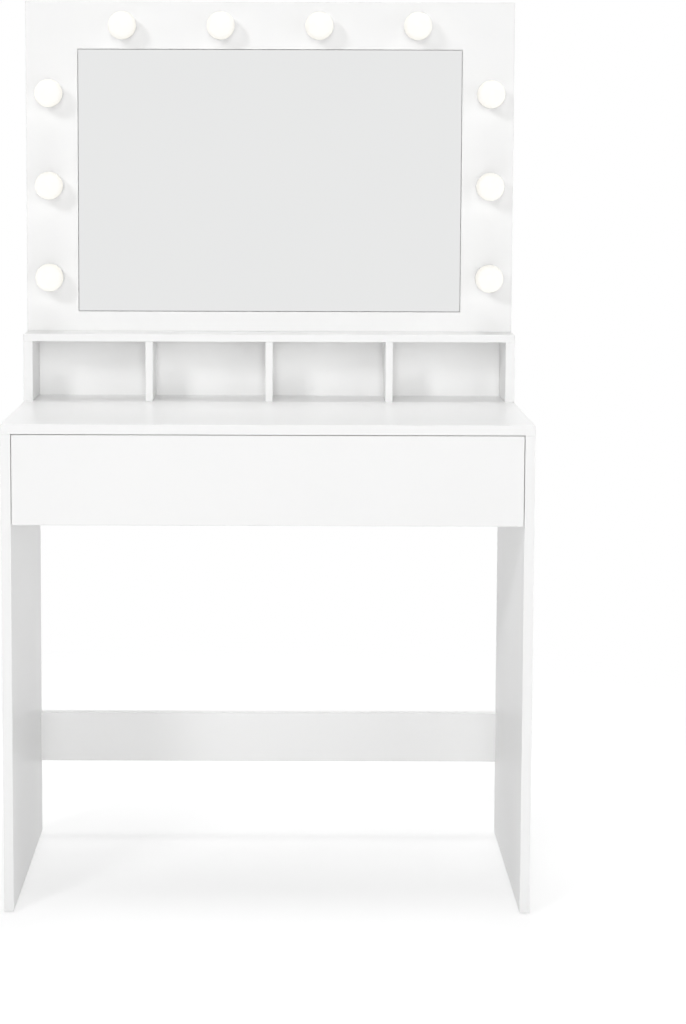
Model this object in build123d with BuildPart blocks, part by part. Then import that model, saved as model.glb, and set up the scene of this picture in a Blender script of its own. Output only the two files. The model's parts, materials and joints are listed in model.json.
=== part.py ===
from build123d import *
from math import sqrt
import os

# Vanity table with one drawer, an open organiser and a lamp-lit mirror on top.
# Millimetres: X to the right, Y to the back, Z up, origin on the floor under the middle.

os.makedirs("parts", exist_ok=True)

# ---- Driving dimensions ------------------------------------------------------------

# Desk carcass
desk_width = 800.0
desk_depth = 400.0
desk_height = 750.0
board = 15.0
arris = 0.5
rear_rail_height = 120.0
rail_inset = 1.0
stretcher_height = 83.0
stretcher_bottom = 128.0
glide_height = 2.5
glide_width = 11.0
glide_length = 28.0
glide_inset = 40.0
glide_edge = 1.0

# Organiser on the table top
thin_board = 12.0
organiser_height = 110.0
organiser_depth = 98.0
organiser_back_thickness = 5.0
organiser_back_gap = 0.5
compartments = 4
wall_clearance = 2.0

# Mirror box
mirror_box_height = 540.0
mirror_box_depth = 38.0
cover_thickness = 3.0
glass_width = 629.0
glass_height = 429.0
glass_thickness = 4.0
glass_gap = 0.8
glass_recess = 0.5
glass_above_shelf = 33.5
pad_thickness = 1.0
pad_width = 25.0
pad_inset = 20.0
pad_count = 5

# Lamps round the mirror
lamp_edge_distance = 40.0
lamp_row_pitch = 160.0
lamp_row_count = 4
lamp_column_pitch = 150.0
lamp_column_count = 3
lamp_column_start = 90.0
globe_radius = 22.5
globe_standoff = 29.0
globe_overhang = 1.4
dome_reach = 25.0
stem_size = 16.0
stem_length = 29.0
led_board_size = 22.0
led_board_thickness = 1.2
led_pocket_margin = 1.0
led_pocket_depth = 4.0

# Power inlet
inlet_x = 60.0
inlet_above_rail = 20.0
inlet_width = 12.0
inlet_height = 8.0
inlet_length = 14.0
inlet_flange = 1.4
inlet_flange_margin = 2.5
inlet_wall = 1.5
inlet_depth = 10.0

# Drawer
drawer_front_height = 136.5
drawer_gap = 1.0
drawer_box_rise = 22.0
drawer_side_height = 90.0
drawer_rear_clearance = 39.0
drawer_bottom_thickness = 3.0
drawer_bottom_rise = 10.0
groove_depth = 6.0

# Roller runners
runner_gap = 12.5
runner_length = 300.0
runner_setback = 2.0
gauge = 1.2
lip_height = 1.8
channel_width = 9.8
wheel_radius = 10.5
wheel_width = 5.5
wheel_play = 0.25
wheel_side_play = 0.6
front_wheel_inset = 16.0
axle_radius = 2.4
axle_clearance = 0.08
axle_head_radius = 4.0
axle_head_thickness = 0.8
ledge_clearance = 1.6
ledge_gap = 1.0
side_seat = 7.0
drawer_travel = 225.0
stop_height = 3.0
stop_length = 3.0
stop_play = 0.3

# Joining plates
plate_thickness = 1.5
plate_width = 12.0
plate_length = 120.0

fit = 0.05  # clearance round every piece that is plugged, driven or slid into another

# ---- Planes worked out from them ---------------------------------------------------

half_width = desk_width / 2
inner_half = half_width - board
edge_middle = half_width - board / 2
front = -desk_depth / 2
back = desk_depth / 2
rail_back = back - rail_inset
rail_face = rail_back - board
top_under = desk_height - board
shelf_rear = back - wall_clearance
shelf_front = shelf_rear - organiser_depth
shelf_top = desk_height + organiser_height
shelf_under = shelf_top - thin_board
box_top = shelf_top + mirror_box_height
box_front = shelf_rear - mirror_box_depth
panel_back = box_front + board
cover_front = shelf_rear - cover_thickness
hands = (("left", -1), ("right", 1))

# ---- Helpers -----------------------------------------------------------------------


def slab(x, y, z, mode=Mode.ADD):
    """A plain block between two planes on each axis."""
    with Locations(((x[0] + x[1]) / 2, (y[0] + y[1]) / 2, (z[0] + z[1]) / 2)):
        Box(x[1] - x[0], y[1] - y[0], z[1] - z[0], mode=mode)


def broken_board(x, y, z):
    """A board between two planes on each axis, with its arrises broken."""
    slab(x, y, z)
    chamfer(edges(), arris)


def sided(s, near, far):
    """The X range between two distances from the middle, left (-1) or right (+1)."""
    return tuple(sorted((s * near, s * far)))


def centred_block(size, z, mode=Mode.ADD):
    """A block about the Z axis with a square (one size) or oblong (two sizes) section."""
    width, depth = size
    slab((-width / 2, width / 2), (-depth / 2, depth / 2), z, mode=mode)


# ---- Desk carcass ------------------------------------------------------------------

for hand, s in hands:
    with BuildPart() as side_panel:
        broken_board(sided(s, inner_half, half_width), (front, back), (glide_height, top_under))
    side_panel.part.label = f"{hand}_side_panel"
    export_step(side_panel.part, f"parts/{hand}_side_panel.step")

with BuildPart() as table_top:
    broken_board((-half_width, half_width), (front, back), (top_under, desk_height))
table_top.part.label = "table_top"
export_step(table_top.part, "parts/table_top.step")

with BuildPart() as rear_rail:
    broken_board(
        (-inner_half, inner_half),
        (rail_face, rail_back),
        (top_under - rear_rail_height, top_under),
    )
rear_rail.part.label = "rear_rail"
export_step(rear_rail.part, "parts/rear_rail.step")

with BuildPart() as lower_stretcher:
    broken_board(
        (-inner_half, inner_half),
        (rail_face, rail_back),
        (stretcher_bottom, stretcher_bottom + stretcher_height),
    )
lower_stretcher.part.label = "lower_stretcher"
export_step(lower_stretcher.part, "parts/lower_stretcher.step")

# Slim glides are nailed under the ends of each side panel.
with BuildPart() as foot_glides:
    for _, s in hands:
        for y in (front + glide_inset, back - glide_inset):
            slab(
                (s * edge_middle - glide_width / 2, s * edge_middle + glide_width / 2),
                (y - glide_length / 2, y + glide_length / 2),
                (0, glide_height),
            )
    chamfer(faces().group_by(Axis.Z)[0].edges(), glide_edge)
foot_glides.part.label = "foot_glides"
export_step(foot_glides.part, "parts/foot_glides.step")

# ---- Organiser ---------------------------------------------------------------------

back_panel_face = shelf_rear - organiser_back_thickness
divider_pitch = (2 * inner_half + thin_board) / compartments

for hand, s in hands:
    with BuildPart() as organiser_side:
        broken_board(
            sided(s, inner_half, half_width),
            (shelf_front, shelf_rear),
            (desk_height, shelf_under),
        )
    organiser_side.part.label = f"organiser_{hand}_side"
    export_step(organiser_side.part, f"parts/organiser_{hand}_side.step")

with BuildPart() as organiser_top:
    broken_board((-half_width, half_width), (shelf_front, shelf_rear), (shelf_under, shelf_top))
organiser_top.part.label = "organiser_top"
export_step(organiser_top.part, "parts/organiser_top.step")

for number in range(1, compartments):
    middle = (number - compartments / 2) * divider_pitch
    with BuildPart() as divider:
        broken_board(
            (middle - thin_board / 2, middle + thin_board / 2),
            (shelf_front, back_panel_face),
            (desk_height, shelf_under),
        )
    divider.part.label = f"organiser_divider_{number}"
    export_step(divider.part, f"parts/organiser_divider_{number}.step")

with BuildPart() as organiser_back:
    slab(
        (organiser_back_gap - inner_half, inner_half - organiser_back_gap),
        (back_panel_face, shelf_rear),
        (desk_height, shelf_under),
    )
organiser_back.part.label = "organiser_back"
export_step(organiser_back.part, "parts/organiser_back.step")

# ---- Mirror box --------------------------------------------------------------------

glass_bottom = shelf_top + glass_above_shelf
glass_face = box_front + glass_recess
glass_back = glass_face + glass_thickness
pocket_floor = glass_back + pad_thickness

row_spots = [
    ((number - (lamp_row_count - 1) / 2) * lamp_row_pitch, box_top - lamp_edge_distance)
    for number in range(lamp_row_count)
]
column_spots = [
    (s * (half_width - lamp_edge_distance), shelf_top + lamp_column_start + number * lamp_column_pitch)
    for _, s in hands
    for number in range(lamp_column_count)
]
lamp_planes = [
    Plane(origin=(x, box_front, z), x_dir=(1, 0, 0), z_dir=(0, -1, 0))
    for x, z in row_spots + column_spots
]
inlet_z = shelf_top + board + inlet_above_rail
inlet_plane = Plane(origin=(inlet_x, shelf_rear, inlet_z), x_dir=(1, 0, 0), z_dir=(0, 1, 0))

# The front panel has a shallow pocket for the glass and a hole for each lamp's stem.
with BuildPart() as mirror_front_panel:
    broken_board((-half_width, half_width), (box_front, panel_back), (shelf_top, box_top))
    slab(
        (-glass_width / 2 - glass_gap, glass_width / 2 + glass_gap),
        (box_front, pocket_floor),
        (glass_bottom - glass_gap, glass_bottom + glass_height + glass_gap),
        mode=Mode.SUBTRACT,
    )
    with Locations(*lamp_planes):
        Box(stem_size + 2 * fit, stem_size + 2 * fit, 4 * board, mode=Mode.SUBTRACT)
mirror_front_panel.part.label = "mirror_front_panel"
export_step(mirror_front_panel.part, "parts/mirror_front_panel.step")

with BuildPart() as mirror_glass:
    slab(
        (-glass_width / 2, glass_width / 2),
        (glass_face, glass_back),
        (glass_bottom, glass_bottom + glass_height),
    )
    chamfer(faces().sort_by(Axis.Y)[0].edges(), arris)
mirror_glass.part.label = "mirror_glass"
export_step(mirror_glass.part, "parts/mirror_glass.step")

pad_pitch = (glass_width - pad_width - 2 * pad_inset) / (pad_count - 1)
with BuildPart() as mirror_pads:
    for number in range(pad_count):
        middle = (number - (pad_count - 1) / 2) * pad_pitch
        slab(
            (middle - pad_width / 2, middle + pad_width / 2),
            (glass_back, pocket_floor),
            (glass_bottom + pad_inset, glass_bottom + glass_height - pad_inset),
        )
mirror_pads.part.label = "mirror_pads"
export_step(mirror_pads.part, "parts/mirror_pads.step")

for hand, s in hands:
    with BuildPart() as box_side:
        broken_board(sided(s, inner_half, half_width), (panel_back, cover_front), (shelf_top, box_top))
    box_side.part.label = f"mirror_box_{hand}_rail"
    export_step(box_side.part, f"parts/mirror_box_{hand}_rail.step")

for level, low in (("bottom", shelf_top), ("top", box_top - board)):
    with BuildPart() as box_rail:
        broken_board((-inner_half, inner_half), (panel_back, cover_front), (low, low + board))
    box_rail.part.label = f"mirror_box_{level}_rail"
    export_step(box_rail.part, f"parts/mirror_box_{level}_rail.step")

with BuildPart() as mirror_back_cover:
    slab((-half_width, half_width), (cover_front, shelf_rear), (shelf_top, box_top))
    with Locations(inlet_plane):
        Box(inlet_width + 2 * fit, inlet_height + 2 * fit, 4 * cover_thickness, mode=Mode.SUBTRACT)
mirror_back_cover.part.label = "mirror_back_cover"
export_step(mirror_back_cover.part, "parts/mirror_back_cover.step")

# Flat steel plates across the rear edges of the organiser sides and the mirror box.
with BuildPart() as joining_plates:
    for _, s in hands:
        slab(
            sided(s, edge_middle - plate_width / 2, edge_middle + plate_width / 2),
            (shelf_rear, shelf_rear + plate_thickness),
            (shelf_top - plate_length / 2, shelf_top + plate_length / 2),
        )
joining_plates.part.label = "joining_plates"
export_step(joining_plates.part, "parts/joining_plates.step")

# ---- Lamps -------------------------------------------------------------------------
# Each lamp stands on the panel's face: a base with a square stem through the panel, a
# small LED board on it, and a globe with a pocket over the board. In each of them Z is
# the distance out from the panel's face.

globe_rim_radius = sqrt(globe_radius**2 - (globe_standoff - dome_reach) ** 2)
led_pocket_size = led_board_size + 2 * led_pocket_margin

with BuildPart() as lamp_base:
    Cylinder(
        globe_rim_radius - globe_overhang,
        dome_reach,
        align=(Align.CENTER, Align.CENTER, Align.MIN),
    )
    centred_block((stem_size, stem_size), (-stem_length, 0))

with BuildPart() as led_board:
    centred_block((led_board_size, led_board_size), (dome_reach, dome_reach + led_board_thickness))

with BuildPart() as globe:
    with Locations((0, 0, globe_standoff)):
        Sphere(globe_radius)
    split(bisect_by=Plane.XY.offset(dome_reach), keep=Keep.TOP)
    centred_block(
        (led_pocket_size, led_pocket_size),
        (dome_reach, dome_reach + led_pocket_depth),
        mode=Mode.SUBTRACT,
    )

for plural, single in (
    ("lamp_bases", lamp_base),
    ("lamp_led_boards", led_board),
    ("lamp_globes", globe),
):
    with BuildPart() as lamp_group:
        with Locations(*lamp_planes):
            add(single.part)
    lamp_group.part.label = plural
    export_step(lamp_group.part, f"parts/{plural}.step")

# The inlet is a flanged shell let into the back cover.
with BuildPart() as inlet:
    centred_block((inlet_width, inlet_height), (-inlet_length, 0))
    centred_block(
        (inlet_width + 2 * inlet_flange_margin, inlet_height + 2 * inlet_flange_margin),
        (0, inlet_flange),
    )
    centred_block(
        (inlet_width - 2 * inlet_wall, inlet_height - 2 * inlet_wall),
        (inlet_flange - inlet_depth, inlet_flange),
        mode=Mode.SUBTRACT,
    )

with BuildPart() as power_inlet:
    with Locations(inlet_plane):
        add(inlet.part)
power_inlet.part.label = "power_inlet"
export_step(power_inlet.part, "parts/power_inlet.step")

# ---- Drawer ------------------------------------------------------------------------

drawer_front_top = top_under - drawer_gap
drawer_front_bottom = drawer_front_top - drawer_front_height
drawer_front_rear = front + board
side_outer = inner_half - runner_gap
side_inner = side_outer - thin_board
side_bottom = drawer_front_bottom + drawer_box_rise
side_top = side_bottom + drawer_side_height
drawer_side_length = rail_face - drawer_rear_clearance - drawer_front_rear
drawer_rear = drawer_front_rear + drawer_side_length
panel_bottom = side_bottom + drawer_bottom_rise
panel_top = panel_bottom + drawer_bottom_thickness
panel_half = side_inner + groove_depth - fit


def cut_bottom_groove():
    """The groove that the drawer's bottom panel slides into."""
    slab(
        (-side_inner - groove_depth, side_inner + groove_depth),
        (drawer_front_rear - groove_depth, drawer_rear),
        (panel_bottom - fit, panel_top + fit),
        mode=Mode.SUBTRACT,
    )


with BuildPart() as drawer_front:
    broken_board(
        (drawer_gap - inner_half, inner_half - drawer_gap),
        (front, drawer_front_rear),
        (drawer_front_bottom, drawer_front_top),
    )
    cut_bottom_groove()
drawer_front.part.label = "drawer_front"
export_step(drawer_front.part, "parts/drawer_front.step")

for hand, s in hands:
    with BuildPart() as drawer_side:
        broken_board(
            sided(s, side_inner, side_outer),
            (drawer_front_rear, drawer_rear),
            (side_bottom, side_top),
        )
        cut_bottom_groove()
    drawer_side.part.label = f"drawer_{hand}_side"
    export_step(drawer_side.part, f"parts/drawer_{hand}_side.step")

with BuildPart() as drawer_back:
    broken_board(
        (-side_inner, side_inner),
        (drawer_rear - thin_board, drawer_rear),
        (panel_top + fit, side_top),
    )
drawer_back.part.label = "drawer_back"
export_step(drawer_back.part, "parts/drawer_back.step")

with BuildPart() as drawer_bottom:
    slab(
        (-panel_half, panel_half),
        (drawer_front_rear - groove_depth + fit, drawer_rear),
        (panel_bottom, panel_top),
    )
drawer_bottom.part.label = "drawer_bottom"
export_step(drawer_bottom.part, "parts/drawer_bottom.step")

# ---- Roller runners ----------------------------------------------------------------
# Across the gap between carcass and drawer, "reach" counts from the side panel's face
# and heights count from the underside of the channel fixed to it.

channel_height = 2 * (gauge + wheel_play + wheel_radius)
ledge_height = channel_height + ledge_clearance
web_reach = runner_gap - gauge
front_wheel_reach = gauge + wheel_side_play
rear_wheel_reach = front_wheel_reach + axle_head_thickness + axle_clearance
runner_front = drawer_front_rear + runner_setback
runner_rear = runner_front + runner_length
runner_base = side_bottom - side_seat
front_wheel_y = runner_front + front_wheel_inset
front_wheel_z = runner_base + ledge_height - wheel_play - wheel_radius
rear_wheel_y = runner_rear - gauge - stop_play - wheel_radius
rear_wheel_z = runner_base + gauge + wheel_play + wheel_radius
stop_lift = stop_height - wheel_play
stop_rear = rear_wheel_y - drawer_travel - stop_play - sqrt(stop_lift * (2 * wheel_radius - stop_lift))
track_end = channel_width - gauge


def profile_along_runner(s, points):
    """A bent-sheet section of (reach, height) points, drawn out over the runner's length."""
    section = Plane(origin=(s * inner_half, runner_front, runner_base), x_dir=(-s, 0, 0), z_dir=(0, s, 0))
    with BuildSketch(section) as bent_sheet:
        with BuildLine():
            Polyline(*points, close=True)
        make_face()
    extrude(bent_sheet.sketch, amount=s * runner_length)


def runner_block(s, reach, y, height, mode=Mode.ADD):
    """A block on the runner, given by its reach, its Y range and its height."""
    slab(
        sided(s, inner_half - reach[0], inner_half - reach[1]),
        y,
        (runner_base + height[0], runner_base + height[1]),
        mode=mode,
    )


def rivet(s, web, rim, y, z):
    """A rivet through a wheel: from the web's reach, past the wheel's outer rim, to its head."""
    outward = 1 if rim > web else -1
    shank = abs(rim - web) + axle_clearance
    with Locations(Plane(origin=(s * (inner_half - web), y, z), z_dir=(-s * outward, 0, 0))):
        Cylinder(axle_radius, shank, align=(Align.CENTER, Align.CENTER, Align.MIN))
        with Locations((0, 0, shank)):
            Cylinder(axle_head_radius, axle_head_thickness, align=(Align.CENTER, Align.CENTER, Align.MIN))


for hand, s in hands:
    with BuildPart() as cabinet_runner:
        profile_along_runner(
            s,
            [
                (0, 0),
                (channel_width, 0),
                (channel_width, gauge + lip_height),
                (track_end, gauge + lip_height),
                (track_end, gauge),
                (gauge, gauge),
                (gauge, channel_height - gauge),
                (track_end, channel_height - gauge),
                (track_end, channel_height - gauge - lip_height),
                (channel_width, channel_height - gauge - lip_height),
                (channel_width, channel_height),
                (0, channel_height),
            ],
        )
        runner_block(
            s,
            (gauge, channel_width),
            (runner_front, front_wheel_y + wheel_radius + stop_length),
            (channel_height / 2, channel_height),
            mode=Mode.SUBTRACT,
        )
        runner_block(
            s,
            (gauge, track_end),
            (runner_rear - gauge, runner_rear),
            (gauge, channel_height / 2),
        )
        runner_block(
            s,
            (gauge, track_end),
            (stop_rear - stop_length, stop_rear),
            (gauge, gauge + stop_height),
        )
        rivet(s, gauge, front_wheel_reach + wheel_width, front_wheel_y, front_wheel_z)
    cabinet_runner.part.label = f"{hand}_cabinet_runner"
    export_step(cabinet_runner.part, f"parts/{hand}_cabinet_runner.step")

    with BuildPart() as drawer_runner:
        profile_along_runner(
            s,
            [
                (web_reach, side_seat - gauge),
                (runner_gap + thin_board, side_seat - gauge),
                (runner_gap + thin_board, side_seat),
                (runner_gap, side_seat),
                (runner_gap, ledge_height + gauge),
                (gauge + ledge_gap, ledge_height + gauge),
                (gauge + ledge_gap, ledge_height),
                (web_reach, ledge_height),
            ],
        )
        rivet(s, web_reach, rear_wheel_reach, rear_wheel_y, rear_wheel_z)
    drawer_runner.part.label = f"{hand}_drawer_runner"
    export_step(drawer_runner.part, f"parts/{hand}_drawer_runner.step")

# A nylon wheel turns on the rivet between the web and the rivet's head.
with BuildPart() as wheel:
    Cylinder(wheel_radius, wheel_width, align=(Align.CENTER, Align.CENTER, Align.MIN))
    Hole(axle_radius + axle_clearance, 2 * wheel_width)

front_wheel_planes = {
    hand: Plane(
        origin=(s * (inner_half - front_wheel_reach), front_wheel_y, front_wheel_z),
        x_dir=(0, 1, 0),
        z_dir=(-s, 0, 0),
    )
    for hand, s in hands
}
rear_wheel_planes = {
    hand: Plane(
        origin=(s * (inner_half - rear_wheel_reach - wheel_width), rear_wheel_y, rear_wheel_z),
        x_dir=(0, 1, 0),
        z_dir=(s, 0, 0),
    )
    for hand, s in hands
}

for place, planes in (("front", front_wheel_planes), ("rear", rear_wheel_planes)):
    for hand, plane in planes.items():
        with BuildPart() as placed_wheel:
            with Locations(plane):
                add(wheel.part)
        placed_wheel.part.label = f"{hand}_{place}_wheel"
        export_step(placed_wheel.part, f"parts/{hand}_{place}_wheel.step")

# ---- What the joints need ----------------------------------------------------------

print("drawer travel", drawer_travel, "wheel radius", wheel_radius)
for hand, plane in front_wheel_planes.items():
    print(hand, "front wheel axis through", plane.origin)
for hand, plane in rear_wheel_planes.items():
    print(hand, "rear wheel axis through", plane.origin)
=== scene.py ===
# %% [markdown]
# # A dressing table with a lamp-lit mirror
#
# The table is made of white faced boards: two slab sides, a top, a rear rail, a lower
# stretcher, a drawer on roller runners, an open organiser, and a shallow box that holds
# the mirror between two columns and a row of globe lamps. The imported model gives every
# board its exact place, so this lesson adds what a maker would finish by hand: the
# surfaces, the turned lamps and wheels, and the small fixings.

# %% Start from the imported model
import json
import math

import bmesh
import bpy
from mathutils import Matrix, Vector


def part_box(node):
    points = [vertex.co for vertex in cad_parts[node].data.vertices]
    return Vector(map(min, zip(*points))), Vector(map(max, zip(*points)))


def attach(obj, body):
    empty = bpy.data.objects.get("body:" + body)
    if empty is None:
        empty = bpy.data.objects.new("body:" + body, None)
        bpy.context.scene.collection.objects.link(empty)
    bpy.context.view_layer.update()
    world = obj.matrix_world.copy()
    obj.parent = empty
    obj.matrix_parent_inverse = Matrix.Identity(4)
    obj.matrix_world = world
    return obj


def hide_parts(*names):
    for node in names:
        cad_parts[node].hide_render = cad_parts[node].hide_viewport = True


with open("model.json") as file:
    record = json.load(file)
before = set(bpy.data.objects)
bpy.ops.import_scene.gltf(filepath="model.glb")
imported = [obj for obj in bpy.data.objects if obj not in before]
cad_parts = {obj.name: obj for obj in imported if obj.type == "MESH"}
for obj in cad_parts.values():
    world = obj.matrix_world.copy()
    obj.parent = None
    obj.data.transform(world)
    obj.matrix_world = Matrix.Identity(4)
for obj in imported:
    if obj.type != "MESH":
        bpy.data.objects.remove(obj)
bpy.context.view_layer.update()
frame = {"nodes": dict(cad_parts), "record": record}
mm = 0.001
print("nodes loaded:", len(frame["nodes"]))

# %% [markdown]
# ## Small tools for node trees
#
# A material and a Geometry Nodes tree are built in the same way: add a node, choose its
# mode, then fill each input with a value or a link. The nodes could be wired by hand in
# the editor, but a script can be read, changed and run again. One helper does all three
# steps, and a few more are made from it, so that each recipe below reads as a short list.

# %% One helper for every node


def is_link(value):
    """Tells the output of another node from a plain value."""
    return isinstance(value, bpy.types.NodeSocket)


def node(tree, kind, inputs=None, **modes):
    """Adds a node, sets its modes, and fills its inputs with values or with links."""
    made = tree.nodes.new(kind)
    for name, value in modes.items():
        setattr(made, name, value)
    for key, value in (inputs or {}).items():
        if is_link(value):
            tree.links.new(value, made.inputs[key])
        else:
            made.inputs[key].default_value = value
    return made


def reckon(tree, operation, *values):
    """Does one sum on numbers or links, and gives its result."""
    return node(tree, "ShaderNodeMath", dict(enumerate(values)), operation=operation).outputs[0]


def new_group(name, kind, inputs, output):
    """A tree with named inputs and one output, and the sockets that bring the inputs in."""
    tree = bpy.data.node_groups.new(name, kind)
    for label, value in inputs.items():
        tree.interface.new_socket(label, in_out="INPUT", socket_type="NodeSocket" + value)
    label, value = output
    tree.interface.new_socket(label, in_out="OUTPUT", socket_type="NodeSocket" + value)
    return tree, node(tree, "NodeGroupInput").outputs


# %% Steps that every surface shares


def new_finish(name, roughness, metallic=0.0):
    """A material, its tree, its shader, and the place of each point in the object."""
    finish = bpy.data.materials.new(name)
    finish.use_nodes = True
    tree = finish.node_tree
    shader = tree.nodes["Principled BSDF"]
    shader.inputs["Roughness"].default_value = roughness
    shader.inputs["Metallic"].default_value = metallic
    place = node(tree, "ShaderNodeTexCoord").outputs["Object"]
    return finish, tree, shader, place


def grain(tree, place, scale, detail=2.0, stretch=(1, 1, 1)):
    """A noise from 0 to 1 that may be stretched along an axis."""
    placed = node(tree, "ShaderNodeMapping", {"Vector": place, "Scale": stretch})
    inputs = {"Vector": placed.outputs[0], "Scale": scale, "Detail": detail}
    return node(tree, "ShaderNodeTexNoise", inputs).outputs["Fac"]


noise_low, noise_high = 0.25, 0.75


def spread(tree, amount, low, high, start=noise_low, stop=noise_high):
    """Takes an amount that runs from start to stop to a range between two values."""
    ramp = {"Value": amount, "From Min": start, "From Max": stop, "To Min": low, "To Max": high}
    return node(tree, "ShaderNodeMapRange", ramp, interpolation_type="SMOOTHSTEP").outputs[0]


def tint(tree, amount, first, second):
    """Mixes two colours, each a value or a link, by an amount from 0 to 1."""
    first, second = [c if is_link(c) else (*c, 1) for c in (first, second)]
    colours = {"Factor": amount, 6: first, 7: second}
    return node(tree, "ShaderNodeMix", colours, data_type="RGBA").outputs[2]


def paint(tree, shader, colour, roughness=None):
    """Links a colour, and a roughness where it varies, to the shader."""
    tree.links.new(colour, shader.inputs["Base Color"])
    if roughness is not None:
        tree.links.new(roughness, shader.inputs["Roughness"])


def relief(tree, shader, height, depth):
    """Gives the surface a fine relief, its depth in metres."""
    bump = node(tree, "ShaderNodeBump", {"Height": height, "Distance": depth})
    tree.links.new(bump.outputs[0], shader.inputs["Normal"])


def wears(name, finish):
    """Gives a node of the model its finish."""
    slots = frame["nodes"][name].material_slots
    for slot in slots:
        slot.material = finish
    if not slots:
        frame["nodes"][name].data.materials.append(finish)


# %% [markdown]
# ## White faced boards
#
# Each board is chipboard under a white melamine face, with a strip of band glued round
# its edges. Four things give it away at close range: a faint pearl in the pressed face,
# grey flecks too small to count, a sheen that is never quite even, and the hairline where
# face and band meet, a little in from each arris. The hairline could be cut in the mesh,
# but then it would be another piece to fit. A shared group measures how far a point is
# from the board's own corners instead, and each board passes in its corners.

# %% The hairline of the edge band


def band_line_group():
    """A group that is 1 on the seam of the edge band and 0 elsewhere."""
    inputs = {"Place": "Vector", "Low": "Vector", "High": "Vector"}
    inputs.update({"Inset": "Float", "Half width": "Float"})
    tree, given = new_group("edge band seam", "ShaderNodeTree", inputs, ("Seam", "Float"))

    def apart(first, second):
        ends = {0: given[first], 1: given[second]}
        return node(tree, "ShaderNodeVectorMath", ends, operation="SUBTRACT").outputs[0]

    from_edges = {0: apart("Place", "Low"), 1: apart("High", "Place")}
    nearest = node(tree, "ShaderNodeVectorMath", from_edges, operation="MINIMUM").outputs[0]
    seam = None
    for distance in node(tree, "ShaderNodeSeparateXYZ", {0: nearest}).outputs:
        line = reckon(tree, "COMPARE", distance, given["Inset"], given["Half width"])
        seam = line if seam is None else reckon(tree, "MAXIMUM", seam, line)
    node(tree, "NodeGroupOutput", {"Seam": seam})
    return tree


band_seam = band_line_group()
band_thickness = 0.8 * mm
seam_half_width = 0.07 * mm
print("band seam lies", band_thickness / mm, "mm in from each edge")

# %% The faced board
far_away = 10.0
cloud_dark = 0.985
fleck_share = 0.015
fleck_colour = (0.70, 0.70, 0.69)
seam_colour = (0.60, 0.60, 0.585)
seam_sink = -4.0
pearl_depth = 0.003 * mm


def faced_board(board, face, gloss):
    """A white faced board with banded edges, for one board of the model."""
    low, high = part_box(board)
    size = high - low
    thin_axis = min(range(3), key=lambda axis: size[axis])
    low[thin_axis] -= far_away
    high[thin_axis] += far_away
    finish, tree, shader, place = new_finish("faced board " + board, gloss)
    cloud = spread(tree, grain(tree, place, scale=3.0), 0, 1)
    fleck = spread(tree, grain(tree, place, scale=700.0, detail=1.0), 0, fleck_share)
    sheen = grain(tree, place, scale=5.0, detail=1.0)
    pearl = grain(tree, place, scale=900.0, detail=1.0)
    edges = {"Place": place, "Low": low, "High": high}
    edges.update({"Inset": band_thickness, "Half width": seam_half_width})
    seam = node(tree, "ShaderNodeGroup", edges, node_tree=band_seam).outputs[0]
    clouded = tint(tree, cloud, [c * cloud_dark for c in face], face)
    lined = tint(tree, seam, tint(tree, fleck, clouded, fleck_colour), seam_colour)
    paint(tree, shader, lined, spread(tree, sheen, gloss - 0.01, gloss + 0.015))
    height = reckon(tree, "ADD", pearl, reckon(tree, "MULTIPLY", seam, seam_sink))
    relief(tree, shader, height, pearl_depth)
    return finish


# %% Face every board
white_face = (0.925, 0.925, 0.922)
# The thin boards get a whiter face than the melamine: partly the whiter paint of the hardboard,
# partly painted light that lifts the shaded back of the organiser.
thin_paint_and_painted_light = (0.965, 0.965, 0.962)
slot_of = {row["node"]: row["material_slot"] for row in frame["record"]["subparts"]}
board_gloss = {"white_board": 0.36, "table_top_board": 0.29, "thin_back_board": 0.42}
boards = [name for name in frame["nodes"] if slot_of[name] in board_gloss]
for name in boards:
    face = thin_paint_and_painted_light if slot_of[name] == "thin_back_board" else white_face
    wears(name, faced_board(name, face, board_gloss[slot_of[name]]))
print("boards faced:", len(boards))

# %% [markdown]
# ## The mirror
#
# A mirror is clear glass with silver behind it. It could be made as those two layers, but
# one fully metallic surface with almost no roughness looks the same and needs no glass to
# be traced. A real one is never perfectly clean: a thin haze, a little stronger in
# patches, keeps it from looking like a hole in the wall.

# %% Silvered glass


def silvered_glass():
    """Silver behind clear glass, with a thin haze."""
    finish, tree, shader, place = new_finish("silvered glass", 0.02, metallic=1.0)
    haze = spread(tree, grain(tree, place, scale=5.0, detail=4.0), 0, 1)
    smear = spread(tree, grain(tree, place, scale=9.0, detail=3.0), 0.012, 0.035)
    paint(tree, shader, tint(tree, haze, (0.806, 0.810, 0.809), (0.811, 0.815, 0.813)), smear)
    return finish


wears("mirror_glass", silvered_glass())
print("mirror silvered")

# %% [markdown]
# ## Plastics, metals and foam
#
# The moulded pieces get the fine spark-eroded texture of their mould. The runners are
# folded sheet under white powder paint, which dries with a slight orange peel. Zinc plate
# keeps the direction in which the strip was rolled. Each could have its own recipe, but
# all of these are a colour that drifts a little, a roughness that drifts with it, and a
# relief of the right scale, so one pattern serves them and only the numbers change.

# %% Moulded plastics


def moulded_plastic(name, dark, light, gloss):
    """A moulded plastic between two shades, with the texture of its mould."""
    finish, tree, shader, place = new_finish(name, gloss)
    drift = spread(tree, grain(tree, place, scale=40.0), 0, 1)
    sheen = spread(tree, grain(tree, place, scale=70.0), gloss - 0.04, gloss + 0.06)
    paint(tree, shader, tint(tree, drift, dark, light), sheen)
    relief(tree, shader, grain(tree, place, scale=2600.0, detail=1.0), 0.01 * mm)
    return finish


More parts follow.
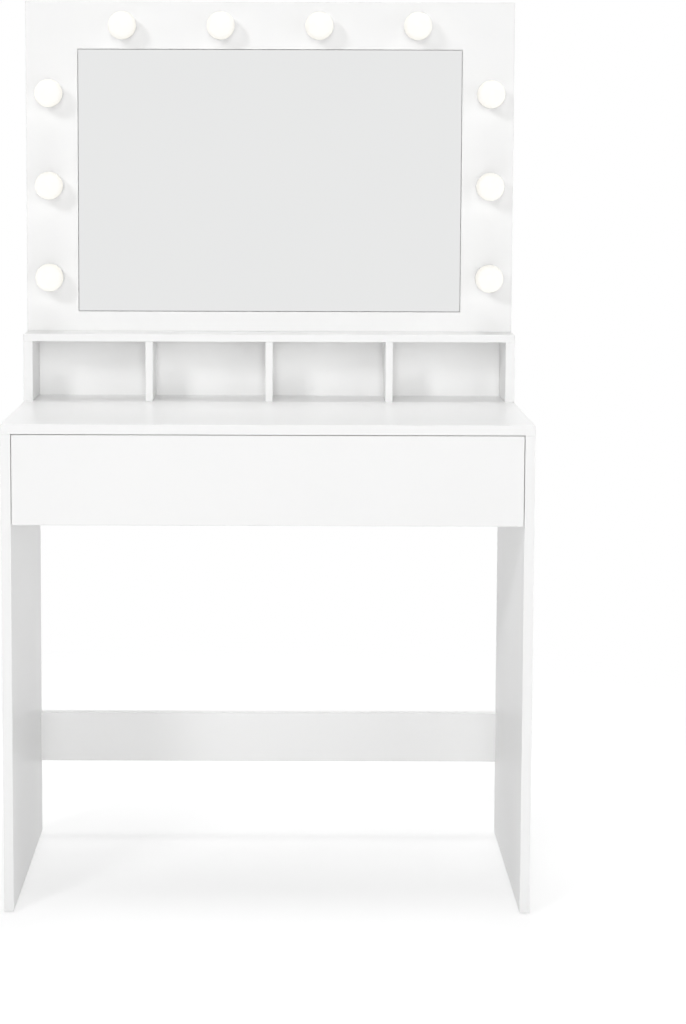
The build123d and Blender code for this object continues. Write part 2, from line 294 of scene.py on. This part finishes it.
plastic_looks = {
    "white lamp plastic": ((0.80, 0.80, 0.79), (0.84, 0.84, 0.83), 0.34),
    "nylon": ((0.78, 0.78, 0.74), (0.84, 0.84, 0.80), 0.40),
    "pale grey plastic": ((0.58, 0.58, 0.57), (0.64, 0.64, 0.63), 0.48),
    "black plastic": ((0.018, 0.018, 0.018), (0.030, 0.030, 0.030), 0.42),
    "white board lacquer": ((0.76, 0.78, 0.75), (0.84, 0.85, 0.83), 0.34),
}
plastics = {name: moulded_plastic(name, *look) for name, look in plastic_looks.items()}
wears("foot_glides", plastics["pale grey plastic"])
wears("power_inlet", plastics["black plastic"])
wears("lamp_led_boards", plastics["white board lacquer"])
print("plastics:", ", ".join(plastics))

# %% Metals


def powder_coat():
    """White powder paint with a slight orange peel."""
    finish, tree, shader, place = new_finish("white powder coat", 0.38)
    drift = spread(tree, grain(tree, place, scale=25.0), 0, 1)
    sheen = spread(tree, grain(tree, place, scale=60.0), 0.33, 0.45)
    paint(tree, shader, tint(tree, drift, (0.79, 0.79, 0.78), (0.83, 0.83, 0.82)), sheen)
    relief(tree, shader, grain(tree, place, scale=700.0, detail=1.0), 0.03 * mm)
    return finish


def zinc_plate():
    """Zinc-plated steel with the streaks of its rolling."""
    finish, tree, shader, place = new_finish("zinc plate", 0.34, metallic=1.0)
    rolled = grain(tree, place, scale=60.0, detail=3.0, stretch=(30, 30, 1))
    streaks = tint(tree, spread(tree, rolled, 0, 1), (0.56, 0.57, 0.58), (0.68, 0.69, 0.71))
    paint(tree, shader, streaks, spread(tree, rolled, 0.29, 0.43))
    relief(tree, shader, rolled, 0.01 * mm)
    return finish


runner_paint = powder_coat()
zinc = zinc_plate()
runners = [name for name in frame["nodes"] if slot_of[name] == "runner_steel"]
for name in runners:
    wears(name, runner_paint)
wears("joining_plates", zinc)
print("runners painted:", len(runners))

# %% Foam


def foam():
    """Black closed-cell foam."""
    finish, tree, shader, place = new_finish("closed-cell foam", 0.9)
    voronoi = node(tree, "ShaderNodeTexVoronoi", {"Vector": place, "Scale": 1400.0})
    cells = voronoi.outputs["Distance"]
    paint(tree, shader, tint(tree, cells, (0.05, 0.05, 0.05), (0.11, 0.11, 0.11)))
    relief(tree, shader, cells, 0.2 * mm)
    return finish


wears("mirror_pads", foam())
print("pads foamed")

# %% [markdown]
# ## The lit globes
#
# An opal globe spreads the light of a small board inside it, so all of its skin shines.
# It is brightest straight ahead of the board and a touch warmer and dimmer low down by
# its collar. Light could be sent through a real translucent wall, but that is slow and
# grainy, and a glow of the skin itself looks the same. The glow is painted by height
# above the panel, which belongs to the lamp, so it looks the same from every side.

# %% Opal plastic that glows
lamp_glow = 1.0
opal_clears_at = 21 * mm
glow_at_foot, glow_at_tip = (0.64, 0.61, 0.53), (0.81, 0.80, 0.77)
skin_at_foot, skin_at_tip = (0.17, 0.165, 0.16), (0.19, 0.19, 0.185)


def lit_opal(foot_y, clear_y):
    """Opal plastic whose glow grows from its foot at the collar to where it is clear."""
    finish, tree, shader, place = new_finish("lit opal plastic", 0.30)
    out = node(tree, "ShaderNodeSeparateXYZ", {0: place}).outputs["Y"]
    reach = spread(tree, out, 0, 1, start=foot_y, stop=clear_y)
    cloud = spread(tree, grain(tree, place, scale=60.0), -0.03, 0.03)
    level = reckon(tree, "ADD", reach, cloud)
    glow = tint(tree, level, glow_at_foot, glow_at_tip)
    tree.links.new(glow, shader.inputs["Emission Color"])
    shader.inputs["Emission Strength"].default_value = lamp_glow
    paint(tree, shader, tint(tree, level, skin_at_foot, skin_at_tip))
    relief(tree, shader, grain(tree, place, scale=1500.0, detail=1.0), 0.006 * mm)
    return finish


globe_low, globe_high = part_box("lamp_globes")
opal = lit_opal(globe_high.y, globe_high.y - opal_clears_at)
globe_reach = (globe_high.y - globe_low.y) / mm
print("globes stand out", round(globe_reach, 1), "mm beyond their collars")

# %% [markdown]
# ## Turned pieces
#
# Lamps, wheels and screw heads are round, so each is an outline spun about an axis. A
# ready-made cylinder or sphere would be quicker, but it has no lip, web or rim. The
# outline's corners are softened first, because no moulded or turned edge is truly sharp,
# and that small curve is what catches the light.

# %% Soften an outline
most_cut = 0.45


def softened(outline, radius, steps=3, closed=False):
    """Rounds the corners of an outline of (radius, height) points."""
    count = len(outline)
    made = []
    for index, corner in enumerate(outline):
        if not closed and index in (0, count - 1):
            made.append(corner)
            continue
        here = Vector(corner)
        before = Vector(outline[index - 1]) - here
        after = Vector(outline[(index + 1) % count]) - here
        cut = min(radius, before.length * most_cut, after.length * most_cut)
        start = here + before.normalized() * cut
        end = here + after.normalized() * cut
        for step in range(steps + 1):
            t = step / steps
            made.append(tuple(start * (1 - t) ** 2 + here * 2 * t * (1 - t) + end * t**2))
    return made


# %% Spin it
same_place = 1e-6
sharp_angle = math.radians(32)


def turned(name, outline, around, closed=False):
    """A closed shape spun about Z from (radius, height) points in millimetres."""
    shape = bmesh.new()
    ring = [shape.verts.new((radius * mm, 0, height * mm)) for radius, height in outline]
    pairs = list(zip(ring, ring[1:]))
    if closed:
        pairs.append((ring[-1], ring[0]))
    for first, second in pairs:
        shape.edges.new((first, second))
    profile = shape.verts[:] + shape.edges[:]
    axis = {"axis": (0, 0, 1), "cent": (0, 0, 0)}
    bmesh.ops.spin(shape, geom=profile, angle=math.tau, steps=around, **axis)
    bmesh.ops.remove_doubles(shape, verts=shape.verts, dist=same_place)
    bmesh.ops.recalc_face_normals(shape, faces=shape.faces)
    return finished(name, shape)


def finished(name, shape):
    """Turns a bmesh into a linked object, smooth apart from its sharp edges."""
    for face in shape.faces:
        face.smooth = True
    for edge in shape.edges:
        if len(edge.link_faces) == 2 and edge.calc_face_angle() > sharp_angle:
            edge.smooth = False
    mesh = bpy.data.meshes.new(name)
    shape.to_mesh(mesh)
    shape.free()
    return linked(name, mesh)


def linked(name, data):
    """Puts a mesh, a light or a camera in the scene as an object."""
    made = bpy.data.objects.new(name, data)
    bpy.context.scene.collection.objects.link(made)
    return made


# %% A four-sided block
corners = [(-1, -1), (1, -1), (1, 1), (-1, 1)]


def block(shape, levels):
    """Adds a closed block through levels of (height, half width, half depth) in mm."""
    rings = [
        [shape.verts.new((x * wide * mm, y * deep * mm, height * mm)) for x, y in corners]
        for height, wide, deep in levels
    ]
    for upper, lower in zip(rings, rings[1:]):
        for index in range(4):
            following = (index + 1) % 4
            shape.faces.new((upper[index], lower[index], lower[following], upper[following]))
    shape.faces.new(rings[0])
    shape.faces.new(rings[-1][::-1])
    bmesh.ops.recalc_face_normals(shape, faces=shape.faces)


# %% [markdown]
# ## Copies on marks
#
# Lamps, screws and cam fittings are each one shape that is set down many times, and every
# copy faces its own way. Copying objects by hand would do it, but a change to the shape
# would then have to be made in every copy. A Geometry Nodes tree takes a cloud of marks,
# each with the direction that it faces, turns a copy of the piece to that direction, gives
# it a small turn about its own axis as a screwdriver would, and joins the copies into one
# mesh with one finish.

# %% The tree that sets pieces down


def end_with(tree, copies, finish):
    """Ends a tree: its copies made real, with one finish."""
    solid = node(tree, "GeometryNodeRealizeInstances", {0: copies.outputs[0]})
    dressing = {"Geometry": solid.outputs[0], "Material": finish}
    dressed = node(tree, "GeometryNodeSetMaterial", dressing)
    node(tree, "NodeGroupOutput", {"Pieces": dressed.outputs[0]})


def setting_tree():
    """A tree that sets a copy of a piece on each mark."""
    inputs = {"Marks": "Geometry", "Piece": "Object", "Finish": "Material"}
    inputs.update({"Most turn": "Float", "Seed": "Int"})
    output = ("Pieces", "Geometry")
    tree, given = new_group("pieces on marks", "GeometryNodeTree", inputs, output)
    named = {"Name": "facing"}
    facing = node(tree, "GeometryNodeInputNamedAttribute", named, data_type="FLOAT_VECTOR")
    way = {"Vector": facing.outputs[0]}
    aimed = node(tree, "FunctionNodeAlignRotationToVector", way, axis="Z").outputs[0]
    least = reckon(tree, "MULTIPLY", given["Most turn"], -1.0)
    turns = {2: least, 3: given["Most turn"], "Seed": given["Seed"]}
    chance = node(tree, "FunctionNodeRandomValue", turns, data_type="FLOAT")
    about = {"Axis": (0, 0, 1), "Angle": chance.outputs[1]}
    twist = node(tree, "FunctionNodeAxisAngleToRotation", about).outputs[0]
    both = {"Rotation": aimed, "Rotate By": twist}
    turned_in = node(tree, "FunctionNodeRotateRotation", both, rotation_space="LOCAL")
    piece = node(tree, "GeometryNodeObjectInfo", {"Object": given["Piece"]})
    setting = {"Points": given["Marks"], "Instance": piece.outputs["Geometry"]}
    setting["Rotation"] = turned_in.outputs[0]
    copies = node(tree, "GeometryNodeInstanceOnPoints", setting)
    end_with(tree, copies, given["Finish"])
    return tree


pieces_on_marks = setting_tree()
print("nodes in the setting tree:", len(pieces_on_marks.nodes))

# %% Run a tree and keep its mesh


def as_mesh(thing):
    """The mesh that an object has once its modifiers have run."""
    graph = bpy.context.evaluated_depsgraph_get()
    return bpy.data.meshes.new_from_object(thing.evaluated_get(graph), depsgraph=graph)


def grown(name, start, tree, values, body, stands_for=()):
    """Runs a tree on a start mesh and keeps the result as one plain piece on a body."""
    carrier = linked(name + " start", start)
    modifier = carrier.modifiers.new("tree", "NODES")
    modifier.node_group = tree
    for item in tree.interface.items_tree:
        if item.in_out == "INPUT" and item.name in values:
            modifier[item.identifier] = values[item.name]
    made = linked(name, as_mesh(carrier))
    bpy.data.objects.remove(carrier)
    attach(made, body)
    if stands_for:
        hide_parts(*stands_for)
    print(name, "has", len(made.data.polygons), "faces")


def marks_mesh(marks):
    """Loose points, each with the direction that its piece faces."""
    mesh = bpy.data.meshes.new("marks")
    mesh.from_pydata([place for place, _ in marks], [], [])
    facing = mesh.attributes.new("facing", "FLOAT_VECTOR", "POINT")
    for index, (_, way) in enumerate(marks):
        facing.data[index].vector = way
    return mesh


def set_down(name, piece, marks, finish, body, most_turn=0.0, seed=0, stands_for=()):
    """Copies of a piece on marks, as one mesh that rides on a body."""
    values = {"Piece": piece, "Finish": finish, "Most turn": most_turn, "Seed": seed}
    grown(name, marks_mesh(marks), pieces_on_marks, values, body, stands_for)


def put_away(*masters):
    """Takes the shapes that were only copied from out of the scene."""
    for master in masters:
        bpy.data.objects.remove(master)


# %% [markdown]
# ## The globe lamps
#
# Each lamp is a straight white collar that stands on the panel, and an opal globe that
# snaps over its end. Seen from the front the globe just hides the collar, and from the
# side the collar shows as a short neck. One spun outline could make the whole lamp, but
# the collar keeps a fine gap at the panel and a rounded lip below the globe, so two
# outlines are spun and the two read as separate pieces.

# %% Where the lamps stand
panel_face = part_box("mirror_front_panel")[0].y
collar_low, collar_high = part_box("lamp_bases")
globe_radius, globe_middle = 22.5, 29.0
collar_radius = (collar_high.z - globe_high.z) / mm + globe_radius
collar_reach = (panel_face - collar_low.y) / mm
stem_reach = (collar_high.y - panel_face) / mm
row_count, row_pitch = 4, 160 * mm
column_count, column_pitch = 3, 150 * mm
row_start = -(row_count - 1) / 2
column_x = globe_high.x - globe_radius * mm
row_z = globe_high.z - globe_radius * mm
lowest_z = globe_low.z + globe_radius * mm
hands = (-1, 1)
lamp_spots = [((row_start + number) * row_pitch, row_z) for number in range(row_count)]
lamp_spots += [
    (hand * column_x, lowest_z + number * column_pitch)
    for hand in hands
    for number in range(column_count)
]
towards_sitter = (0, -1, 0)
lamp_marks = [((x, panel_face, z), towards_sitter) for x, z in lamp_spots]
collar_sizes = (collar_radius, collar_reach, stem_reach)
print("collar radius, reach and stem:", *(round(size, 2) for size in collar_sizes))

# %% The collar and its stem
gap_depth, gap_height = 0.8, 0.7
lip_depth, lip_height = 0.9, 1.1
collar_rounding = 0.5
stem_half, stem_clearance, stem_chamfer = 8.0, 0.2, 1.0
collar_outline = [
    (0, 0.0),
    (collar_radius - gap_depth, 0.0),
    (collar_radius - gap_depth, gap_height),
    (collar_radius, gap_height),
    (collar_radius, collar_reach - lip_height),
    (collar_radius - lip_depth, collar_reach),
    (0, collar_reach),
]
collar = turned("collar shape", softened(collar_outline, collar_rounding), around=64)
stem_levels = [
    (stem_clearance, stem_half),
    (stem_reach - stem_chamfer, stem_half),
    (stem_reach, stem_half - stem_chamfer),
]
stem_shape = bmesh.new()
stem_shape.from_mesh(collar.data)
block(stem_shape, [(-depth, half, half) for depth, half in stem_levels])
stem_shape.to_mesh(collar.data)
stem_shape.free()
white = plastics["white lamp plastic"]
bases = ("lamp_bases",)
set_down("lamp_collars", collar, lamp_marks, white, "cabinet", stands_for=bases)

# %% The globe


def globe_arc(radius, low, steps):
    """Points of a globe's outline from its top down to a height above the panel."""
    top = math.pi / 2
    lowest = math.asin((low - globe_middle) / radius)
    angles = [top + (lowest - top) * step / steps for step in range(steps + 1)]
    points = [(radius * math.cos(a), globe_middle + radius * math.sin(a)) for a in angles]
    return [(0.0, points[0][1])] + points[1:]


globe_wall = 1.3
rim_height, rim_width = 0.4, 0.35
outer_arc = globe_arc(globe_radius, collar_reach + rim_height, steps=26)
inner_arc = globe_arc(globe_radius - globe_wall, collar_reach, steps=14)[::-1]
globe_rim = [(outer_arc[-1][0] - rim_width, collar_reach)]
globe = turned("globe shape", outer_arc + globe_rim + inner_arc, around=64)
globes = ("lamp_globes",)
set_down("lamp_shells", globe, lamp_marks, opal, "cabinet", stands_for=globes)
put_away(collar, globe)

# %% [markdown]
# ## The runner wheels
#
# Each nylon wheel has a thin web between a tyre and a hub, which saves material and keeps
# the moulding from sinking. The web could be cut from a disc with a boolean, but the
# outline that goes once round the cut face of the wheel gives the whole ring when it is
# spun. Each wheel is placed by the box of its own node.

# %% Wheels
wheel_bore = 2.5
hub_radius = 5.2
tyre_inner = 8.4
hub_recess, web_recess = 0.15, 0.9
hub_slope, tyre_slope = 0.4, 0.3
wheel_rounding = 0.35
for name in ("left_front_wheel", "right_front_wheel", "left_rear_wheel", "right_rear_wheel"):
    low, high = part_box(name)
    width = (high.x - low.x) / mm
    tyre_radius = (high.z - low.z) / 2 / mm
    near_side = [
        (wheel_bore, hub_recess),
        (hub_radius, hub_recess),
        (hub_radius + hub_slope, web_recess),
        (tyre_inner - tyre_slope, web_recess),
        (tyre_inner, 0.0),
        (tyre_radius, 0.0),
    ]
    far_side = [(radius, width - height) for radius, height in reversed(near_side)]
    wheel_outline = softened(near_side + far_side, wheel_rounding, steps=2, closed=True)
    wheel = turned(name + "_turned", wheel_outline, around=56, closed=True)
    middle = (low + high) / 2
    to_axle = Matrix.Translation((low.x, middle.y, middle.z))
    wheel.data.transform(to_axle @ Matrix.Rotation(math.pi / 2, 4, "Y"))
    wheel.data.materials.append(plastics["nylon"])
    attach(wheel, name)
    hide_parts(name)
    print(wheel.name, "has", len(wheel.data.polygons), "faces")

# %% [markdown]
# ## Screws and cam fittings
#
# Small fixings tell how the table goes together. A pan head stands proud of the back
# cover, a countersunk head lies flush in steel, and a cam is a disc with a cross that
# pulls a hidden bolt. A cross could be painted on, but a real recess holds its own shadow,
# so each head is turned, and its cross is cut with a boolean before it is copied.

# %% Cut a cross in a head
cutter_rise = 0.5
cross_foot = 0.35


def crossed(master, length, width, top, depth):
    """Cuts a tapered cross recess into the top of a head, sizes in millimetres."""
    cutter_shape = bmesh.new()
    for across, along in ((width, length), (length, width)):
        mouth = (top + cutter_rise, across / 2, along / 2)
        foot = (top - depth, across * cross_foot, along * cross_foot)
        block(cutter_shape, [mouth, foot])
    cutter = finished("cutter", cutter_shape)
    cut = master.modifiers.new("cross", "BOOLEAN")
    cut.object = cutter
    cut.operation = "DIFFERENCE"
    cut.solver = "EXACT"
    cut.use_self = True
    mesh = as_mesh(master)
    master.modifiers.clear()
    master.data = mesh
    put_away(cutter)
    print(master.name, "has", len(mesh.polygons), "faces")


# %% The three heads
pan_outline = [(0, -0.6), (3.1, -0.6), (3.3, 0.3), (2.9, 1.0), (1.8, 1.45), (0, 1.6)]
flush_outline = [(0, -0.8), (1.6, -0.8), (2.9, 0.1), (2.7, 0.22), (0, 0.25)]
cam_outline = [(0, -1.0), (7.3, -1.0), (7.3, 0.1), (6.9, 0.3), (0, 0.3)]
pan_head = turned("pan head", pan_outline, around=16)
flush_head = turned("flush head", flush_outline, around=16)
cam_face = turned("cam face", softened(cam_outline, radius=0.2, steps=2), around=24)
crossed(pan_head, length=3.2, width=0.8, top=1.6, depth=1.2)
crossed(flush_head, length=3.0, width=0.8, top=0.25, depth=0.8)
crossed(cam_face, length=6.0, width=1.4, top=0.3, depth=1.0)

# %% A tree for screws round an edge
# This second tree walks round an upright rectangle and sets a piece at each even step.


def edge_row_tree():
    """A tree that sets copies of a piece round an upright rectangle."""
    inputs = {"Start": "Geometry", "Piece": "Object", "Finish": "Material"}
    inputs.update({"Width": "Float", "Height": "Float", "Centre": "Vector", "Spacing": "Float"})
    output = ("Pieces", "Geometry")
    tree, given = new_group("screws round an edge", "GeometryNodeTree", inputs, output)
    sides = {"Width": given["Width"], "Height": given["Height"]}
    edge = node(tree, "GeometryNodeCurvePrimitiveQuadrilateral", sides)
    even = {"Curve": edge.outputs[0], "Length": given["Spacing"]}
    steps = node(tree, "GeometryNodeResampleCurve", even, mode="LENGTH")
    piece = node(tree, "GeometryNodeObjectInfo", {"Object": given["Piece"]})
    setting = {"Points": steps.outputs[0], "Instance": piece.outputs["Geometry"]}
    copies = node(tree, "GeometryNodeInstanceOnPoints", setting)
    stand = {"Geometry": copies.outputs[0], "Translation": given["Centre"]}
    stand["Rotation"] = (-math.pi / 2, 0, 0)
    end_with(tree, node(tree, "GeometryNodeTransform", stand), given["Finish"])
    return tree


# %% Screws round the back cover
cover_low, cover_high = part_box("mirror_back_cover")
cover_middle = (cover_low + cover_high) / 2
cover_screw_inset = 7.5 * mm
cover_screw_spacing = 132 * mm
cover_row = {
    "Piece": pan_head,
    "Finish": zinc,
    "Width": cover_high.x - cover_low.x - 2 * cover_screw_inset,
    "Height": cover_high.z - cover_low.z - 2 * cover_screw_inset,
    "Centre": (cover_middle.x, cover_high.y, cover_middle.z),
    "Spacing": cover_screw_spacing,
}
nothing = bpy.data.meshes.new("empty")
grown("cover_screws", nothing, edge_row_tree(), cover_row, "cabinet")

# %% Screws in the plates


def fixings(name, head, marks, body, seed):
    """Zinc heads on marks, each left at a turn of its own."""
    set_down(name, head, marks, zinc, body, most_turn=math.pi, seed=seed)


to_wall, down = (0, 1, 0), (0, 0, -1)
plate_low, plate_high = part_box("joining_plates")
plate_middle = (plate_low.z + plate_high.z) / 2
plate_screw_x = plate_high.x - 6 * mm
plate_marks = [
    ((hand * plate_screw_x, plate_high.y, plate_middle + offset * mm), to_wall)
    for hand in hands
    for offset in (-48, -24, 24, 48)
]
fixings("plate_screws", flush_head, plate_marks, "cabinet", seed=3)

# %% Screws in the runners
sheet_gauge = 1.2 * mm
ledge_screw_inset = 6 * mm
runner_screws_at = (0.14, 0.5, 0.86)
ledge_screws_at = (0.1, 0.5, 0.9)
runner_marks, ledge_marks = [], []
for hand, word in zip(hands, ("left", "right")):
    low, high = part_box(word + "_cabinet_runner")
    web_x = hand * (max(abs(low.x), abs(high.x)) - sheet_gauge)
    for share in runner_screws_at:
        y = low.y + share * (high.y - low.y)
        runner_marks.append(((web_x, y, (low.z + high.z) / 2), (-hand, 0, 0)))
    low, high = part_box(word + "_drawer_runner")
    ledge_x = hand * (min(abs(low.x), abs(high.x)) + ledge_screw_inset)
    for share in ledge_screws_at:
        y = low.y + share * (high.y - low.y)
        ledge_marks.append(((ledge_x, y, low.z), down))
fixings("runner_screws", flush_head, runner_marks, "cabinet", seed=5)
fixings("ledge_screws", pan_head, ledge_marks, "drawer", seed=7)

# %% Cams in the carcass
cam_inset = 24 * mm
side_inner_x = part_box("rear_rail")[1].x
rail_cam_x = side_inner_x - cam_inset
side_cam_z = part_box("table_top")[0].z - cam_inset
side_cams_at = (-0.14, 0.125)
cam_marks = []
for hand in hands:
    for rail in ("rear_rail", "lower_stretcher"):
        low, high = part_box(rail)
        cam_marks.append(((hand * rail_cam_x, high.y, (low.z + high.z) / 2), to_wall))
    for y in side_cams_at:
        cam_marks.append(((hand * side_inner_x, y, side_cam_z), (-hand, 0, 0)))
fixings("cabinet_cams", cam_face, cam_marks, "cabinet", seed=11)

# %% Cams and screws of the drawer
side_low, side_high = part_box("drawer_right_side")
back_low, back_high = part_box("drawer_back")
drawer_cam_y = side_low.y + cam_inset
drawer_cam_z = (side_low.z + side_high.z) / 2 + 8 * mm
drawer_cam_marks = [((h * side_low.x, drawer_cam_y, drawer_cam_z), (-h, 0, 0)) for h in hands]
fixings("drawer_cams", cam_face, drawer_cam_marks, "drawer", seed=13)

drawer_screw_y = (back_low.y + back_high.y) / 2
drawer_screws_z = (back_low.z + 14 * mm, back_high.z - 16 * mm)
drawer_screw_marks = [
    ((hand * side_high.x, drawer_screw_y, z), (hand, 0, 0))
    for hand in hands
    for z in drawer_screws_z
]
fixings("drawer_screws", flush_head, drawer_screw_marks, "drawer", seed=17)
put_away(pan_head, flush_head, cam_face)

# %% [markdown]
# ## Floor, light and camera
#
# The table stands on a plain white floor in a white room, lit by softboxes alone. A small
# key softbox high on the left draws the lamps' shadows, one beside the camera and one over
# it reach into the organiser, one low on the right reaches between the side panels, and
# weaker ones above, behind and at the sides keep every face readable. More light could
# make the floor white too, but it would wash out the white boards. The floor adds a little
# light of its own for the camera instead and fades to plain white away from the table, so
# that only the table's own shadow darkens it. The mirror and other glossy surfaces see the
# same white.

# %% The rays that see plain white


def plain_white_rays(tree):
    """Two switches: for a ray from the camera, a mirror or a glass, and for the camera's alone."""
    rays = node(tree, "ShaderNodeLightPath").outputs
    camera_ray = rays["Is Camera Ray"]
    seen = reckon(tree, "MAXIMUM", camera_ray, rays["Is Glossy Ray"])
    return reckon(tree, "MAXIMUM", seen, rays["Is Transmission Ray"]), camera_ray


def chosen(tree, switch, off, on):
    """One value where a switch is 0 and another where it is 1."""
    ends = {"Value": switch, "To Min": off, "To Max": on}
    return node(tree, "ShaderNodeMapRange", ends).outputs[0]


# %% The room
room_light = 0.01
room = bpy.data.worlds.new("white room")
bpy.context.scene.world = room
room.use_nodes = True
background = room.node_tree.nodes["Background"]
plain, _ = plain_white_rays(room.node_tree)
level = chosen(room.node_tree, plain, room_light, 1.0)
room.node_tree.links.new(level, background.inputs["Strength"])
background.inputs["Color"].default_value = (1, 1, 1, 1)
print("room lit at", room_light)

# %% The floor
floor_half = 14.0
floor_albedo, seen_albedo = 0.82, 0.53
floor_lift = 0.57
fade_start, fade_end = 0.75, 1.6


def floor_finish():
    """A matt floor that lifts its own shade for the camera and fades to white."""
    finish = bpy.data.materials.new("pale floor")
    finish.use_nodes = True
    tree = finish.node_tree
    tree.nodes.remove(tree.nodes["Principled BSDF"])
    plain, camera_ray = plain_white_rays(tree)
    place = node(tree, "ShaderNodeTexCoord").outputs["Object"]
    away = node(tree, "ShaderNodeVectorMath", {0: place}, operation="LENGTH").outputs["Value"]
    fade = spread(tree, away, 0, 1, start=fade_start, stop=fade_end)
    albedo = chosen(tree, camera_ray, floor_albedo, seen_albedo)
    matt = node(tree, "ShaderNodeBsdfDiffuse", {"Color": albedo})
    lift_level = reckon(tree, "MULTIPLY", camera_ray, floor_lift)
    lift = node(tree, "ShaderNodeEmission", {"Strength": lift_level})
    lifted = node(tree, "ShaderNodeAddShader", {0: matt.outputs[0], 1: lift.outputs[0]})
    white = node(tree, "ShaderNodeEmission", {"Strength": 1.0})
    mirrored = reckon(tree, "SUBTRACT", plain, camera_ray)
    faded = reckon(tree, "MULTIPLY", fade, camera_ray)
    whiter = reckon(tree, "MAXIMUM", mirrored, faded)
    mixed = {0: whiter, 1: lifted.outputs[0], 2: white.outputs[0]}
    both = node(tree, "ShaderNodeMixShader", mixed)
    tree.links.new(both.outputs[0], tree.nodes["Material Output"].inputs["Surface"])
    return finish


floor_shape = bmesh.new()
bmesh.ops.create_grid(floor_shape, x_segments=2, y_segments=2, size=floor_half)
floor = finished("floor", floor_shape)
floor.data.materials.append(floor_finish())
print("floor laid,", 2 * floor_half, "m across")

# %% The softboxes
# Each row gives an azimuth to the left of the front, a distance, a height, a size and a
# power. The camera and the mirror do not see the softboxes themselves.
softboxes = {
    "key softbox": (35, 4.5, 3.3, 0.9, 60.0),
    "camera softbox": (0, 6.0, 1.2, 2.0, 83.0),
    "high front softbox": (0, 4.0, 2.4, 1.2, 28.0),
    "right front softbox": (-40, 4.5, 1.6, 2.0, 23.0),
    "right softbox": (-90, 4.0, 1.0, 3.0, 56.0),
    "left softbox": (90, 4.0, 1.0, 3.0, 36.0),
    "top softbox": (0, -0.1, 6.0, 2.4, 149.0),
    "back softbox": (180, 4.0, 1.6, 3.0, 88.0),
}
aim = Vector((0, 0, 0.8))
for name, (azimuth, distance, height, size, power) in softboxes.items():
    turn = math.radians(azimuth)
    light = bpy.data.lights.new(name, "AREA")
    light.energy = power
    light.size = size
    softbox = linked(name, light)
    softbox.location = (-math.sin(turn) * distance, -math.cos(turn) * distance, height)
    softbox.rotation_euler = (softbox.location - aim).to_track_quat("Z", "Y").to_euler()
    softbox.visible_camera = False
    softbox.visible_glossy = False
print("softboxes hung:", len(softboxes))

# %% The camera
camera_place = Vector((0.019, -3.426, 1.160))
pitch = math.radians(4.95)
roll = math.radians(0.166)
along_x = Vector((1, 0, 0))
ahead = Vector((0, math.cos(pitch), -math.sin(pitch)))
level_up = Vector((0, math.sin(pitch), math.cos(pitch)))
right = along_x * math.cos(roll) + level_up * math.sin(roll)
up = level_up * math.cos(roll) - along_x * math.sin(roll)
lens = bpy.data.cameras.new("camera")
lens.lens = 76.5
lens.sensor_width = 36
lens.shift_x = 0.0607
lens.shift_y = -0.170
camera = linked("camera", lens)
turning = Matrix((right, up, -ahead)).transposed().to_4x4()
camera.matrix_world = Matrix.Translation(camera_place) @ turning
bpy.context.scene.camera = camera
bpy.context.scene.view_settings.view_transform = "Standard"
print("camera stands at", tuple(round(part, 3) for part in camera_place))
